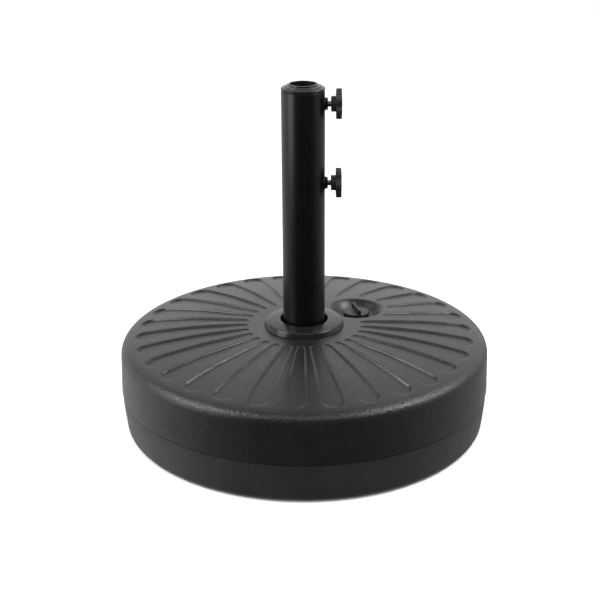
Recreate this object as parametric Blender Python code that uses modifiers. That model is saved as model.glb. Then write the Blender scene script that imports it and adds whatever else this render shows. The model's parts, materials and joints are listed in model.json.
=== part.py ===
"""A fillable umbrella base.

A round hollow resin tank is weighted with water or sand. A steel tube stands in the well in its middle and
takes the umbrella's pole, which two star-knob screws clamp. A bushing narrows the tube's mouth, a ring trims
the top of the well, and a cap with a finger fin closes the filler neck.

Metres, +Z up. The origin is the middle of the tank's underside. The clamp screws point along +X.
"""

import math

import bmesh
import bpy

COLLECTION = "umbrella_base"
GAP = 0.0003  # kept between pieces that touch on the real object

# Tank: a 20 inch disc with a slightly domed top
TANK_RADIUS = 0.254  # at the parting line, its widest place
TANK_SEGMENTS = 60
SHOULDER_RADIUS = 0.2527  # top of the upper band
SHOULDER_HEIGHT = 0.1063
RIM_HEIGHT = 0.1242  # where the dome begins
ROUNDING_WIDTH = 0.0231  # of the edge between the dome and the upper band
DOME_HEIGHT = 0.1377
DOME_FLAT_RADIUS = 0.081  # the dome is level inside this
DOME_STEPS = 3
PARTING_HEIGHT = 0.055
PARTING_GROOVE = 0.0008  # half its height, and its depth
FOOT_RADIUS = 0.2492  # bottom of the lower band, before its rounding
FOOT_ROUNDING = 0.009
WALL = 0.004
CAVITY_CORNER = 0.009  # width of the slopes that round the cavity's corners
CEILING_DEPTH = 0.0065  # from the dome down to the cavity, thick enough for the petals

# Petals: shallow radial recesses in the dome, each narrowing towards the middle
PETAL_COUNT = 30
PETAL_FIRST_ANGLE = math.radians(3)
PETAL_HALF_ANGLE = math.radians(3.6)
PETAL_INNER = 0.0778
PETAL_OUTER = 0.232
PETAL_DEPTH = 0.0024
PETAL_END_STEPS = 3
PETAL_MARGIN = 0.0035  # between a shortened petal and the filler dish
CUTTER_SPARE = 0.004  # how far the petals' and the dish's cutters reach past the surface they cut

# Well in the middle of the tank
WELL_RADIUS = 0.029
WELL_FLOOR = 0.020
WELL_STRAIGHT_TOP = 0.060
WELL_TOP_RADIUS = 0.0335
WELL_MOUTH_RADIUS = 0.0358
WELL_STEP = 0.120  # where the mouth widens to take the collar ring
CAVITY_INNER_RADIUS = 0.040
CAVITY_SEGMENTS = 36
ANCHOR_RECESS_RADIUS = 0.052
ANCHOR_RECESS_DEPTH = 0.014

# Filler: a dish in the dome with a threaded neck in its floor
FILLER_DISTANCE = 0.0961
FILLER_ANGLE = math.radians(38.8)
DISH_RADIUS = 0.0383
DISH_FLOOR = 0.125
DISH_FLOOR_RADIUS = 0.027
NECK_RADIUS = 0.0145
NECK_OUTER_RADIUS = 0.019
NECK_BOTTOM = 0.113
FILLER_SEGMENTS = 32

# Filler cap
CAP_RADIUS = 0.0183
CAP_TOP = 0.133
CAP_SEAT = 0.127
CAP_EDGE = 0.0009
PLUG_RADIUS = NECK_RADIUS - GAP
PLUG_BOTTOM = 0.1153
PLUG_HOLLOW_RADIUS = 0.0115
PLUG_HOLLOW_TOP = 0.129
FIN_LENGTH = 0.0356
FIN_THICKNESS = 0.0030
FIN_TOP = 0.1402
FIN_CORNER = 0.002
FIN_TURN = math.radians(-75.4)  # the fin's direction, from +X
SEAL_RADIUS = 0.0162
SEAL_THICKNESS = 0.0014

# Collar ring that trims the top of the well
COLLAR_BORE = 0.0327
COLLAR_HEIGHT = 0.0092  # above the dome, at the bore
COLLAR_CHAMFER = 0.0009
COLLAR_TOP = ((0.0400, 0.0088), (0.0460, 0.0080))  # the top's fall towards the rolled edge
COLLAR_ROLL_CENTRE = (0.0503, 0.0057)
COLLAR_ROLL = 0.0014
COLLAR_FLARE = ((0.0519, 0.0042), (0.0526, 0.0020), (0.0538, 0.0006), (0.0550, 0.0003))
COLLAR_SEGMENTS = 36

# Steel tube, 2 1/4 inches across
TUBE_RADIUS = 0.028575
TUBE_WALL = 0.0015
TUBE_FOOT = WELL_FLOOR + GAP
TUBE_TOP = 0.4636
TUBE_SEGMENTS = 36

# Foot of the tube, and the M10 bolt that holds it from below
PLATE_THICKNESS = 0.005
BOLT_RADIUS = 0.005
BOLT_HOLE = BOLT_RADIUS + GAP
BOLT_ACROSS_FLATS = 0.017
BOLT_HEAD_HEIGHT = 0.0064
BOLT_NUT_HEIGHT = 0.008
BOLT_END_DEPTH = 0.0006  # its end stays this far below the plate's top
WASHER_RADIUS = 0.022
WASHER_THICKNESS = 0.0025
LOCK_WASHER_RADIUS = 0.0088
LOCK_WASHER_THICKNESS = 0.0022
BOLT_SEGMENTS = 24

# Bushing in the mouth of the tube
BUSHING_BORE = 0.017
BUSHING_TOP = 0.4725
BUSHING_LIP_RADIUS = 0.0193
BUSHING_LIP_HEIGHT = 0.0017
BUSHING_STEP_RADIUS = 0.0243
BUSHING_STEP_TOP = 0.0025  # below the bushing's top
BUSHING_STEP_BOTTOM = 0.0037
BUSHING_SHOULDER_RADIUS = 0.0280
BUSHING_SHOULDER_DROP = 0.0050  # from the top to the shoulder's outer end
BUSHING_FLANGE_RADIUS = 0.0290
BUSHING_GROOVE_RADIUS = 0.0279
BUSHING_GROOVE_HEIGHT = 0.0018
BUSHING_CHAMFER = 0.0005
BUSHING_SKIRT_RADIUS = TUBE_RADIUS - TUBE_WALL - GAP
BUSHING_SKIRT_WALL = 0.0022
BUSHING_SKIRT_BOTTOM = 0.4525
BUSHING_THROAT = 0.003  # height of the slope between the skirt and the bore, below the tube's end

# Clamps: an M8 screw in a nut welded to the tube, with a star knob moulded on its end
CLAMP_HEIGHTS = {"upper": 0.4459, "lower": 0.3401}
LOBE_TURN = {"upper": 0.0, "lower": math.radians(30)}  # lobes of a knob, from straight up
SCREW_RADIUS = 0.004
SCREW_TIP = 0.0164
SCREW_END = 0.0457  # inside the knob
SCREW_CHAMFER = 0.0008
SCREW_CLEARANCE = SCREW_RADIUS + GAP
SCREW_HOLE_SPAN = (0.020, 0.036)  # along +X, through the tube's wall and the weld nut
WELD_NUT_FACE = 0.0323
WELD_NUT_CORNERS = 0.0165
HUB_FACE = 0.0364
HUB_RADIUS = 0.0102
HUB_LENGTH = 0.0065
HUB_CHAMFER = 0.0006
KNOB_RADIUS = 0.020
KNOB_VALLEY = 0.004  # how far the gaps between lobes reach in
KNOB_LOBES = 6
KNOB_THICKNESS = 0.0074
KNOB_CROWN = 0.0004  # height of the round boss on its face
KNOB_CROWN_RADIUS = 0.0090
KNOB_EDGE = 0.0009
KNOB_OUTLINE_STEPS = 48
CLAMP_SEGMENTS = 24

BLACK_RESIN = (0.022, 0.022, 0.023)
SATIN_BLACK = (0.030, 0.030, 0.031)
BLACK_POWDER_COAT = (0.012, 0.012, 0.013)
ZINC_STEEL = (0.55, 0.55, 0.56)
RUBBER_BLACK = (0.010, 0.010, 0.010)


# Tools


def new_collection(name):
    collection = bpy.data.collections.new(name)
    bpy.context.scene.collection.children.link(collection)
    return collection


def material(name, colour, roughness, metallic=0.0):
    made = bpy.data.materials.new(name)
    made.use_nodes = True
    shader = made.node_tree.nodes["Principled BSDF"]
    shader.inputs["Base Color"].default_value = (*colour, 1.0)
    shader.inputs["Roughness"].default_value = roughness
    shader.inputs["Metallic"].default_value = metallic
    return made


def place(obj, collection):
    """Moves an object into one collection only."""
    for other in list(obj.users_collection):
        other.objects.unlink(obj)
    collection.objects.link(obj)
    return obj


def finish_part(obj, colour, roughness, metallic=0.0):
    """Gives a piece its own material and joins its smooth faces at shallow angles."""
    obj.data.materials.clear()
    obj.data.materials.append(material(obj.name, colour, roughness, metallic))
    obj.data.shade_smooth()
    obj.data.set_sharp_from_angle(angle=math.radians(35))
    return obj


def as_cutter(obj):
    obj.hide_render = True
    obj.display_type = "WIRE"
    return obj


def turned(name, profile, segments, collection, closed=False):
    """Solid turned about Z. The profile's (radius, height) points run down its outer side, and a closed
    profile comes back up inside."""
    mesh = bpy.data.meshes.new(name)
    points = [(radius, 0.0, height) for radius, height in profile]
    edges = [(i, i + 1) for i in range(len(points) - 1)]
    if closed:
        edges.append((len(points) - 1, 0))
    mesh.from_pydata(points, edges, [])
    obj = bpy.data.objects.new(name, mesh)
    collection.objects.link(obj)
    screw = obj.modifiers.new("Turn", "SCREW")
    screw.angle = math.tau
    screw.steps = segments
    screw.render_steps = segments
    screw.use_merge_vertices = True
    screw.merge_threshold = 1e-5
    return obj


def flat_ring(name, inner, outer, low, high, segments, collection):
    profile = [(outer, high), (outer, low), (inner, low), (inner, high)]
    return turned(name, profile, segments, collection, closed=True)


def disc(name, radius, low, high, segments, collection):
    return turned(name, [(0, high), (radius, high), (radius, low), (0, low)], segments, collection)


def slab(name, outlines, low, high, collection):
    """Solid between two heights whose plan is one or more closed outlines."""
    curve = bpy.data.curves.new(name, "CURVE")
    curve.dimensions = "2D"
    curve.fill_mode = "BOTH"
    curve.extrude = (high - low) / 2
    for outline in outlines:
        spline = curve.splines.new("POLY")
        spline.points.add(len(outline) - 1)
        spline.use_cyclic_u = True
        for point, (x, y) in zip(spline.points, outline):
            point.co = (x, y, 0, 1)
    source = bpy.data.objects.new(name + "_outline", curve)
    source.location.z = (low + high) / 2
    collection.objects.link(source)
    bpy.context.view_layer.update()
    evaluated = source.evaluated_get(bpy.context.evaluated_depsgraph_get())
    mesh = bpy.data.meshes.new_from_object(evaluated)
    mesh.name = name
    obj = bpy.data.objects.new(name, mesh)
    obj.matrix_world = source.matrix_world
    collection.objects.link(obj)
    bpy.data.objects.remove(source)
    work = bmesh.new()
    work.from_mesh(mesh)
    bmesh.ops.remove_doubles(work, verts=work.verts, dist=1e-6)
    work.to_mesh(mesh)
    work.free()
    return obj


def combine(obj, other, operation):
    step = obj.modifiers.new(other.name, "BOOLEAN")
    step.operation = operation
    step.solver = "EXACT"
    step.object = as_cutter(other)
    return obj


def hexagon(across_corners):
    """Outline with corners on +X and -X."""
    radius = across_corners / 2
    return [(radius * math.cos(math.tau * i / 6), radius * math.sin(math.tau * i / 6)) for i in range(6)]


def arc(centre, radii, start, end, steps):
    """(radius, height) points of a quarter or half ellipse, both ends included."""
    points = []
    for i in range(steps + 1):
        angle = start + (end - start) * i / steps
        points.append((centre[0] + radii[0] * math.cos(angle), centre[1] + radii[1] * math.sin(angle)))
    return points


def filler_centre():
    return (FILLER_DISTANCE * math.cos(FILLER_ANGLE), FILLER_DISTANCE * math.sin(FILLER_ANGLE), 0)


# Tank


def dome_height(radius):
    """A parabola that is level inside DOME_FLAT_RADIUS and falls to RIM_HEIGHT at the edge's rounding."""
    edge = SHOULDER_RADIUS - ROUNDING_WIDTH
    share = (edge - max(radius, DOME_FLAT_RADIUS)) / (edge - DOME_FLAT_RADIUS)
    return RIM_HEIGHT + (DOME_HEIGHT - RIM_HEIGHT) * (1 - (1 - share) ** 2)


def dome_points(start, end, steps, lowered=0.0):
    radii = [start + (end - start) * i / steps for i in range(steps + 1)]
    return [(radius, dome_height(radius) - lowered) for radius in radii]


def tank_outside():
    """Closed section of the tank with its cavity filled in."""
    edge = SHOULDER_RADIUS - ROUNDING_WIDTH
    rounding = (ROUNDING_WIDTH, RIM_HEIGHT - SHOULDER_HEIGHT)
    foot_centre = (FOOT_RADIUS - FOOT_ROUNDING, FOOT_ROUNDING)
    return [
        (WELL_MOUTH_RADIUS, DOME_HEIGHT),
        *dome_points(DOME_FLAT_RADIUS, edge, DOME_STEPS)[:-1],
        *arc((edge, SHOULDER_HEIGHT), rounding, math.pi / 2, 0, 4),
        (TANK_RADIUS, PARTING_HEIGHT + PARTING_GROOVE),
        (TANK_RADIUS - PARTING_GROOVE, PARTING_HEIGHT),
        (TANK_RADIUS - PARTING_GROOVE / 2, PARTING_HEIGHT - PARTING_GROOVE),
        *arc(foot_centre, (FOOT_ROUNDING, FOOT_ROUNDING), 0, -math.pi / 2, 3),
        (ANCHOR_RECESS_RADIUS + WALL, 0),
        (ANCHOR_RECESS_RADIUS, ANCHOR_RECESS_DEPTH),
        (BOLT_HOLE, ANCHOR_RECESS_DEPTH),
        (BOLT_HOLE, WELL_FLOOR),
        (WELL_RADIUS, WELL_FLOOR),
        (WELL_RADIUS, WELL_STRAIGHT_TOP),
        (WELL_TOP_RADIUS, WELL_STEP),
        (WELL_MOUTH_RADIUS, WELL_STEP),
    ]


def tank_inside():
    """Closed section of the cavity that holds the water or sand."""
    edge = SHOULDER_RADIUS - ROUNDING_WIDTH
    return [
        (CAVITY_INNER_RADIUS, DOME_HEIGHT - CEILING_DEPTH),
        *dome_points(DOME_FLAT_RADIUS, edge, 2, CEILING_DEPTH),
        (SHOULDER_RADIUS - WALL - CAVITY_CORNER, SHOULDER_HEIGHT + WALL),
        (SHOULDER_RADIUS - WALL, SHOULDER_HEIGHT - CAVITY_CORNER),
        (TANK_RADIUS - WALL, PARTING_HEIGHT),
        (FOOT_RADIUS - WALL, FOOT_ROUNDING),
        (FOOT_RADIUS - FOOT_ROUNDING, WALL),
        (ANCHOR_RECESS_RADIUS + CAVITY_CORNER, WALL),
        (ANCHOR_RECESS_RADIUS + WALL, ANCHOR_RECESS_DEPTH + WALL),
        (WELL_RADIUS + WALL, ANCHOR_RECESS_DEPTH + WALL),
        (WELL_RADIUS + WALL, WELL_STRAIGHT_TOP),
        (CAVITY_INNER_RADIUS, WELL_STEP - WALL),
    ]


def petal_start(angle):
    """Where a petal at this angle begins: at PETAL_INNER, or past the filler dish if it would meet it."""
    keep_out = DISH_RADIUS + PETAL_MARGIN
    start = PETAL_INNER
    for side in (-PETAL_HALF_ANGLE, PETAL_HALF_ANGLE):
        away = (angle + side - FILLER_ANGLE + math.pi) % math.tau - math.pi
        beside = FILLER_DISTANCE * math.sin(away)
        if abs(away) < math.pi / 2 and abs(beside) < keep_out:
            along = FILLER_DISTANCE * math.cos(away)
            start = max(start, along + math.sqrt(keep_out**2 - beside**2))
    return start


def petal_outline(angle):
    """A wedge of constant angle with a round end of the wedge's own width at each end."""
    slope = math.sin(PETAL_HALF_ANGLE)
    ends = (
        (PETAL_OUTER / (1 + slope), -1),
        (petal_start(angle) / (1 - slope), 1),
    )
    points = []
    for distance, side in ends:
        centre = (distance * math.cos(angle), distance * math.sin(angle))
        for i in range(PETAL_END_STEPS + 1):
            turn = (i / PETAL_END_STEPS - 0.5) * (math.pi - 2 * side * PETAL_HALF_ANGLE)
            bearing = angle + turn + (0 if side < 0 else math.pi)
            radius = distance * slope
            points.append((centre[0] + radius * math.cos(bearing), centre[1] + radius * math.sin(bearing)))
    return points


def petal_cutter(cutters):
    """All the petals' prisms above the dome's own surface sunk by PETAL_DEPTH."""
    angles = [PETAL_FIRST_ANGLE + math.tau * i / PETAL_COUNT for i in range(PETAL_COUNT)]
    below = RIM_HEIGHT - 3 * PETAL_DEPTH
    above = DOME_HEIGHT + CUTTER_SPARE
    prisms = slab("petals", [petal_outline(angle) for angle in angles], below, above, cutters)
    sunk = dome_points(DOME_FLAT_RADIUS, PETAL_OUTER + CUTTER_SPARE, DOME_STEPS, PETAL_DEPTH)
    bottom = below - CUTTER_SPARE
    floor = turned(
        "petal_floor",
        [(0, DOME_HEIGHT - PETAL_DEPTH), *sunk, (sunk[-1][0], bottom), (0, bottom)],
        TANK_SEGMENTS,
        cutters,
    )
    return combine(prisms, floor, "DIFFERENCE")


def dish_cutter(cutters):
    """The dish around the filler cap: steep at its edge, curving into a level floor."""
    depth = DOME_HEIGHT - DISH_FLOOR
    slope = arc(
        (DISH_FLOOR_RADIUS, DISH_FLOOR + depth),
        (DISH_RADIUS - DISH_FLOOR_RADIUS, depth),
        0,
        -math.pi / 2,
        4,
    )
    above = DOME_HEIGHT + CUTTER_SPARE
    profile = [(0, above), (DISH_RADIUS, above), *slope, (0, DISH_FLOOR)]
    obj = turned("dish", profile, FILLER_SEGMENTS, cutters)
    obj.location = filler_centre()
    return obj


def cavity_cutter(cutters):
    """The cavity, less the dish's walls, with the filler neck's hole."""
    cavity = turned("cavity", tank_inside(), CAVITY_SEGMENTS, cutters, closed=True)
    housing_profile = [
        (0, DOME_HEIGHT),
        (DISH_RADIUS + WALL, DOME_HEIGHT),
        (DISH_FLOOR_RADIUS + WALL, DISH_FLOOR - WALL),
        (NECK_OUTER_RADIUS, DISH_FLOOR - WALL),
        (NECK_OUTER_RADIUS, NECK_BOTTOM),
        (0, NECK_BOTTOM),
    ]
    housing = turned("dish_walls", housing_profile, FILLER_SEGMENTS, cutters)
    hole = disc("neck_hole", NECK_RADIUS, NECK_BOTTOM - 0.003, CAP_TOP, FILLER_SEGMENTS, cutters)
    housing.location = filler_centre()
    hole.location = filler_centre()
    combine(cavity, housing, "DIFFERENCE")
    return combine(cavity, hole, "UNION")


def make_tank(parts, cutters):
    tank = turned("tank", tank_outside(), TANK_SEGMENTS, parts, closed=True)
    for cutter in (petal_cutter(cutters), dish_cutter(cutters), cavity_cutter(cutters)):
        combine(tank, cutter, "DIFFERENCE")
    return finish_part(tank, BLACK_RESIN, 0.55)


def make_collar_ring(parts):
    """A smooth ring with a flared skirt, and a spigot that sits in the well's mouth."""
    under = DOME_HEIGHT + GAP
    spigot = WELL_MOUTH_RADIUS - GAP
    roll_centre = (COLLAR_ROLL_CENTRE[0], under + COLLAR_ROLL_CENTRE[1])
    profile = [
        (COLLAR_BORE + COLLAR_CHAMFER, under + COLLAR_HEIGHT),
        *[(radius, under + height) for radius, height in COLLAR_TOP],
        *arc(roll_centre, (COLLAR_ROLL, COLLAR_ROLL), math.radians(80), 0, 5),
        *[(radius, under + height) for radius, height in COLLAR_FLARE],
        (COLLAR_FLARE[-1][0], under),
        (spigot, under),
        (spigot, WELL_STEP + GAP),
        (COLLAR_BORE, WELL_STEP + GAP),
        (COLLAR_BORE, under + COLLAR_HEIGHT - COLLAR_CHAMFER),
    ]
    ring = turned("collar_ring", profile, COLLAR_SEGMENTS, parts, closed=True)
    return finish_part(ring, SATIN_BLACK, 0.38)


# Filler cap


def make_filler_cap(parts, cutters):
    """A disc on a hollow plug, with a fin across it to turn it by."""
    profile = [
        (0, CAP_TOP),
        (CAP_RADIUS - CAP_EDGE, CAP_TOP),
        (CAP_RADIUS, CAP_TOP - CAP_EDGE),
        (CAP_RADIUS, CAP_SEAT),
        (PLUG_RADIUS, CAP_SEAT),
        (PLUG_RADIUS, PLUG_BOTTOM),
        (PLUG_HOLLOW_RADIUS, PLUG_BOTTOM),
        (PLUG_HOLLOW_RADIUS, PLUG_HOLLOW_TOP),
        (0, PLUG_HOLLOW_TOP),
    ]
    cap = turned("filler_cap", profile, FILLER_SEGMENTS, parts)
    cap.location = filler_centre()
    cap.rotation_euler.z = FIN_TURN
    half = FIN_LENGTH / 2
    height = FIN_TOP - CAP_TOP + CAP_EDGE
    side_view = [
        (-half, 0),
        (half, 0),
        (half, height - FIN_CORNER),
        (half - FIN_CORNER, height),
        (FIN_CORNER - half, height),
        (-half, height - FIN_CORNER),
    ]
    fin = slab("fin", [side_view], -FIN_THICKNESS / 2, FIN_THICKNESS / 2, cutters)
    fin.rotation_euler = (math.pi / 2, 0, 0)
    fin.location = (0, 0, CAP_TOP - CAP_EDGE)
    fin.parent = cap
    combine(cap, fin, "UNION")
    return finish_part(cap, BLACK_RESIN, 0.42)


def make_filler_cap_seal(parts):
    bpy.ops.mesh.primitive_torus_add(
        major_radius=SEAL_RADIUS,
        minor_radius=SEAL_THICKNESS / 2,
        major_segments=FILLER_SEGMENTS,
        minor_segments=8,
    )
    seal = place(bpy.context.object, parts)
    seal.name = "filler_cap_seal"
    x, y, _ = filler_centre()
    seal.location = (x, y, (DISH_FLOOR + CAP_SEAT) / 2)
    return finish_part(seal, RUBBER_BLACK, 0.7)


# Tube and what holds it


def make_stand_tube(parts, cutters):
    tube = flat_ring(
        "stand_tube", TUBE_RADIUS - TUBE_WALL, TUBE_RADIUS, TUBE_FOOT, TUBE_TOP, TUBE_SEGMENTS, parts
    )
    for name, height in CLAMP_HEIGHTS.items():
        hole = disc("screw_hole_" + name, SCREW_CLEARANCE, *SCREW_HOLE_SPAN, CLAMP_SEGMENTS, cutters)
        hole.rotation_euler.y = math.pi / 2
        hole.location.z = height
        combine(tube, hole, "DIFFERENCE")
    return finish_part(tube, BLACK_POWDER_COAT, 0.38)


def make_foot(parts, cutters):
    """The plate welded in the tube's foot, where the pole stands, and the nut welded under the plate."""
    nut_top = TUBE_FOOT + BOLT_NUT_HEIGHT
    corners = BOLT_ACROSS_FLATS / math.cos(math.pi / 6)
    nut = slab("foot_nut", [hexagon(corners)], TUBE_FOOT, nut_top, parts)
    beyond = BOLT_NUT_HEIGHT / 4
    bore = disc(
        "foot_nut_bore", BOLT_HOLE, TUBE_FOOT - beyond, nut_top + beyond, BOLT_SEGMENTS, cutters
    )
    combine(nut, bore, "DIFFERENCE")
    finish_part(nut, ZINC_STEEL, 0.4, 1.0)
    plate_low = nut_top + GAP
    plate_top = plate_low + PLATE_THICKNESS
    plate_radius = TUBE_RADIUS - TUBE_WALL - GAP
    plate = flat_ring("foot_plate", BOLT_HOLE, plate_radius, plate_low, plate_top, TUBE_SEGMENTS, parts)
    finish_part(plate, BLACK_POWDER_COAT, 0.5)
    return plate_top


def make_anchor(parts, cutters, plate_top):
    """The bolt, lock washer and wide washer under the tank's floor."""
    washer_top = ANCHOR_RECESS_DEPTH - GAP
    washer_low = washer_top - WASHER_THICKNESS
    washer = flat_ring(
        "anchor_washer", BOLT_HOLE, WASHER_RADIUS, washer_low, washer_top, BOLT_SEGMENTS, parts
    )
    finish_part(washer, ZINC_STEEL, 0.4, 1.0)
    lock_top = washer_low - GAP
    lock_low = lock_top - LOCK_WASHER_THICKNESS
    lock = flat_ring(
        "anchor_lock_washer", BOLT_HOLE, LOCK_WASHER_RADIUS, lock_low, lock_top, BOLT_SEGMENTS, parts
    )
    finish_part(lock, ZINC_STEEL, 0.4, 1.0)
    head_top = lock_low - GAP
    corners = BOLT_ACROSS_FLATS / math.cos(math.pi / 6)
    bolt = slab("anchor_bolt", [hexagon(corners)], head_top - BOLT_HEAD_HEIGHT, head_top, parts)
    shank_top = plate_top - BOLT_END_DEPTH
    shank_low = head_top - BOLT_HEAD_HEIGHT / 2
    shank = disc("anchor_shank", BOLT_RADIUS, shank_low, shank_top, BOLT_SEGMENTS, cutters)
    combine(bolt, shank, "UNION")
    finish_part(bolt, ZINC_STEEL, 0.4, 1.0)


def make_pole_bushing(parts):
    """A ring with a lip around its bore, a sloping shoulder, a groove on the tube's end, and a skirt."""
    under = TUBE_TOP + GAP
    skirt_bore = BUSHING_SKIRT_RADIUS - BUSHING_SKIRT_WALL
    profile = [
        (BUSHING_BORE + BUSHING_CHAMFER, BUSHING_TOP),
        (BUSHING_LIP_RADIUS - BUSHING_CHAMFER, BUSHING_TOP),
        (BUSHING_LIP_RADIUS, BUSHING_TOP - BUSHING_CHAMFER),
        (BUSHING_LIP_RADIUS, BUSHING_TOP - BUSHING_LIP_HEIGHT),
        (BUSHING_STEP_RADIUS, BUSHING_TOP - BUSHING_STEP_TOP),
        (BUSHING_STEP_RADIUS, BUSHING_TOP - BUSHING_STEP_BOTTOM),
        (BUSHING_SHOULDER_RADIUS, BUSHING_TOP - BUSHING_SHOULDER_DROP),
        (BUSHING_FLANGE_RADIUS, BUSHING_TOP - BUSHING_SHOULDER_DROP - 2 * BUSHING_CHAMFER),
        (BUSHING_FLANGE_RADIUS, under + BUSHING_GROOVE_HEIGHT + BUSHING_CHAMFER),
        (BUSHING_GROOVE_RADIUS, under + BUSHING_GROOVE_HEIGHT),
        (BUSHING_GROOVE_RADIUS, under),
        (BUSHING_SKIRT_RADIUS, under),
        (BUSHING_SKIRT_RADIUS, BUSHING_SKIRT_BOTTOM),
        (skirt_bore, BUSHING_SKIRT_BOTTOM),
        (skirt_bore, under - BUSHING_THROAT),
        (BUSHING_BORE, under + BUSHING_THROAT / 3),
        (BUSHING_BORE, BUSHING_TOP - BUSHING_CHAMFER),
    ]
    bushing = turned("pole_bushing", profile, TUBE_SEGMENTS, parts, closed=True)
    return finish_part(bushing, BLACK_RESIN, 0.42)


# Clamps. Each piece is made along Z and turned to lie along +X, with its origin on the screw's axis.


def clamp_piece(obj, name, start=0.0):
    obj.rotation_euler = (0, math.pi / 2, 0)
    obj.location = (start, 0, CLAMP_HEIGHTS[name])
    return obj


def make_weld_nut(name, parts, cutters):
    """A hexagon nut with one side hollowed to the tube."""
    start = TUBE_RADIUS - TUBE_WALL
    nut = slab("weld_nut_" + name, [hexagon(WELD_NUT_CORNERS)], start, WELD_NUT_FACE, parts)
    clamp_piece(nut, name, nut.location.z)
    bore = disc("weld_nut_bore_" + name, SCREW_CLEARANCE, *SCREW_HOLE_SPAN, CLAMP_SEGMENTS, cutters)
    clamp_piece(bore, name)
    height = CLAMP_HEIGHTS[name]
    low, high = height - WELD_NUT_CORNERS, height + WELD_NUT_CORNERS
    saddle = disc("saddle_" + name, TUBE_RADIUS + GAP, low, high, 2 * TUBE_SEGMENTS, cutters)
    combine(nut, bore, "DIFFERENCE")
    combine(nut, saddle, "DIFFERENCE")
    return finish_part(nut, BLACK_POWDER_COAT, 0.35)


def make_clamp_screw(name, parts):
    length = SCREW_END - SCREW_TIP
    profile = [
        (0, length),
        (SCREW_RADIUS, length),
        (SCREW_RADIUS, SCREW_CHAMFER),
        (SCREW_RADIUS - SCREW_CHAMFER, 0),
        (0, 0),
    ]
    screw = turned("clamp_screw_" + name, profile, CLAMP_SEGMENTS, parts)
    clamp_piece(screw, name, SCREW_TIP)
    return finish_part(screw, ZINC_STEEL, 0.3, 1.0)


def lobed_outline(turn):
    """A circle of KNOB_RADIUS pressed in between its lobes. Up is -X before the knob is laid over."""
    points = []
    for i in range(KNOB_OUTLINE_STEPS):
        angle = math.tau * i / KNOB_OUTLINE_STEPS
        valley = (0.5 - 0.5 * math.cos(KNOB_LOBES * (angle - turn))) ** 1.6
        radius = KNOB_RADIUS - KNOB_VALLEY * valley
        points.append((radius * math.cos(angle), radius * math.sin(angle)))
    return points


def make_clamp_knob(name, parts, cutters):
    """A lobed head on a round hub, with a blind hole for the screw's end."""
    head_low = HUB_LENGTH
    head_top = HUB_LENGTH + KNOB_THICKNESS
    knob = slab("clamp_knob_" + name, [lobed_outline(LOBE_TURN[name])], head_low, head_top, parts)
    middle = knob.location.z
    knob.data.transform(knob.matrix_world)
    knob.location.z -= middle
    edge = knob.modifiers.new("Edge", "BEVEL")
    edge.width = KNOB_EDGE
    edge.segments = 2
    edge.limit_method = "ANGLE"
    edge.angle_limit = math.radians(60)
    core_profile = [
        (0, head_top + KNOB_CROWN),
        (KNOB_CROWN_RADIUS, head_top + KNOB_CROWN),
        (KNOB_CROWN_RADIUS + KNOB_CROWN, head_top - KNOB_EDGE),
        (HUB_RADIUS, head_low + KNOB_EDGE),
        (HUB_RADIUS, HUB_CHAMFER),
        (HUB_RADIUS - HUB_CHAMFER, 0),
        (0, 0),
    ]
    core = turned("knob_core_" + name, core_profile, CLAMP_SEGMENTS, cutters)
    depth = SCREW_END + GAP - HUB_FACE
    blind = disc("knob_hole_" + name, SCREW_CLEARANCE, -0.001, depth, CLAMP_SEGMENTS, cutters)
    combine(knob, core, "UNION")
    combine(knob, blind, "DIFFERENCE")
    for piece in (knob, core, blind):
        clamp_piece(piece, name, HUB_FACE)
    return finish_part(knob, BLACK_RESIN, 0.42)


def main():
    for obj in list(bpy.context.scene.objects):
        bpy.data.objects.remove(obj)
    parts = new_collection(COLLECTION)
    cutters = new_collection(COLLECTION + "_cutters")
    make_tank(parts, cutters)
    make_collar_ring(parts)
    make_filler_cap(parts, cutters)
    make_filler_cap_seal(parts)
    make_stand_tube(parts, cutters)
    plate_top = make_foot(parts, cutters)
    make_anchor(parts, cutters, plate_top)
    make_pole_bushing(parts)
    for name in CLAMP_HEIGHTS:
        make_weld_nut(name, parts, cutters)
        make_clamp_screw(name, parts)
        make_clamp_knob(name, parts, cutters)


main()
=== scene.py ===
"""The looks of the fillable umbrella base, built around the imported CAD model.

Metres, +Z up, the origin in the middle of the tank's underside, the clamp screws along +X.
Every CAD node is replaced by a finer piece of the same size in the same place.
"""

import json
import math

import bmesh
import bpy
import numpy as np
from mathutils import Matrix, Vector, geometry

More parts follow.
